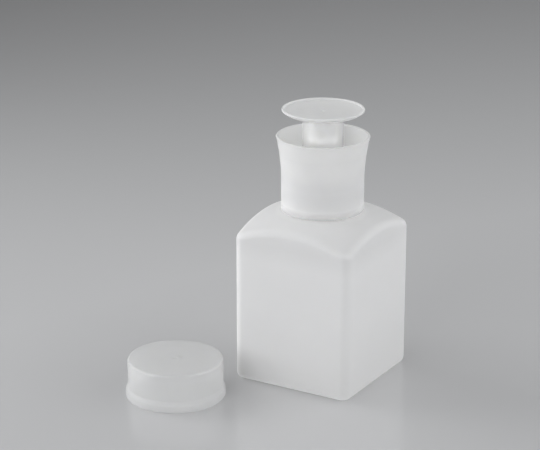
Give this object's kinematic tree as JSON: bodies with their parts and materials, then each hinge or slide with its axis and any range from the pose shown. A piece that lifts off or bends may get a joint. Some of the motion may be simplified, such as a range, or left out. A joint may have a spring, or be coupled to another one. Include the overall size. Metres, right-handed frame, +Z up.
{
  "type": "push-down solvent dispenser bottle",
  "caption": "Square polyethylene solvent bottle with a domed shoulder, flared catch cup, push-down dish pump and a loose over-cap beside it.",
  "frame": {"origin": "on the bottle's upright axis, in the plane of its standing ring", "axes": "+Z up along the bottle and pump axis, +X and -Y out of the two faces the over-cap stands nearest to and beside, over-cap at -X -Y"},
  "size_m": [0.0962, 0.1114, 0.1276],
  "materials": {
    "bottle_pe": "natural translucent polyethylene, satin blow-moulded skin",
    "gasket_pe": "foamed polyethylene sheet",
    "collar_pp": "natural translucent polypropylene, fine satin",
    "pump_pp": "natural polypropylene, smooth",
    "ball_steel": "ground stainless steel",
    "tube_pe": "extruded natural polyethylene tube",
    "spring_steel": "drawn stainless wire",
    "seal_pe": "soft polyethylene, smooth",
    "stem_pp": "natural polypropylene, satin",
    "dish_pp": "natural polypropylene, satin with a polished rim",
    "cap_pp": "natural translucent polypropylene, thin wall"
  },
  "bodies": {
    "bottle": {"bottle": "bottle_pe"},
    "pump": {"pump_cylinder": "pump_pp", "guide_bush": "pump_pp", "inlet_cage": "pump_pp", "dip_tube": "tube_pe", "neck_gasket": "gasket_pe", "return_spring": "spring_steel"},
    "collar": {"collar_cup": "collar_pp"},
    "plunger": {"dish": "dish_pp", "pump_stem": "stem_pp", "riser_tube": "tube_pe", "outlet_seat": "pump_pp", "piston_seal": "seal_pe", "seal_retainer": "pump_pp"},
    "inlet_ball": {"inlet_ball": "ball_steel"},
    "outlet_ball": {"outlet_ball": "ball_steel"},
    "over_cap": {"over_cap": "cap_pp"}
  },
  "joints": [
    {"name": "head_lift", "type": "slide", "parent": "bottle", "child": "pump", "axis": [0, 0, 1], "range_m": [0, 0.115]},
    {"name": "collar_turn", "type": "hinge", "parent": "pump", "child": "collar", "pos_m": [0, 0, 0.09], "axis": [0, 0, 1], "range_deg": [0, 720]},
    {"name": "plunger_press", "type": "slide", "parent": "pump", "child": "plunger", "axis": [0, 0, -1], "range_m": [0, 0.011], "stiffness_N_per_m": 350, "springref_m": -0.008, "deforming": ["return_spring"]},
    {"name": "cap_lift", "type": "slide", "parent": "bottle", "child": "over_cap", "axis": [0, 0, 1], "range_m": [0, 0.12]},
    {"name": "inlet_lift", "type": "slide", "parent": "pump", "child": "inlet_ball", "axis": [0, 0, 1], "range_m": [0, 0.0012]},
    {"name": "outlet_lift", "type": "slide", "parent": "plunger", "child": "outlet_ball", "axis": [0, 0, 1], "range_m": [0, 0.001]}
  ]
}
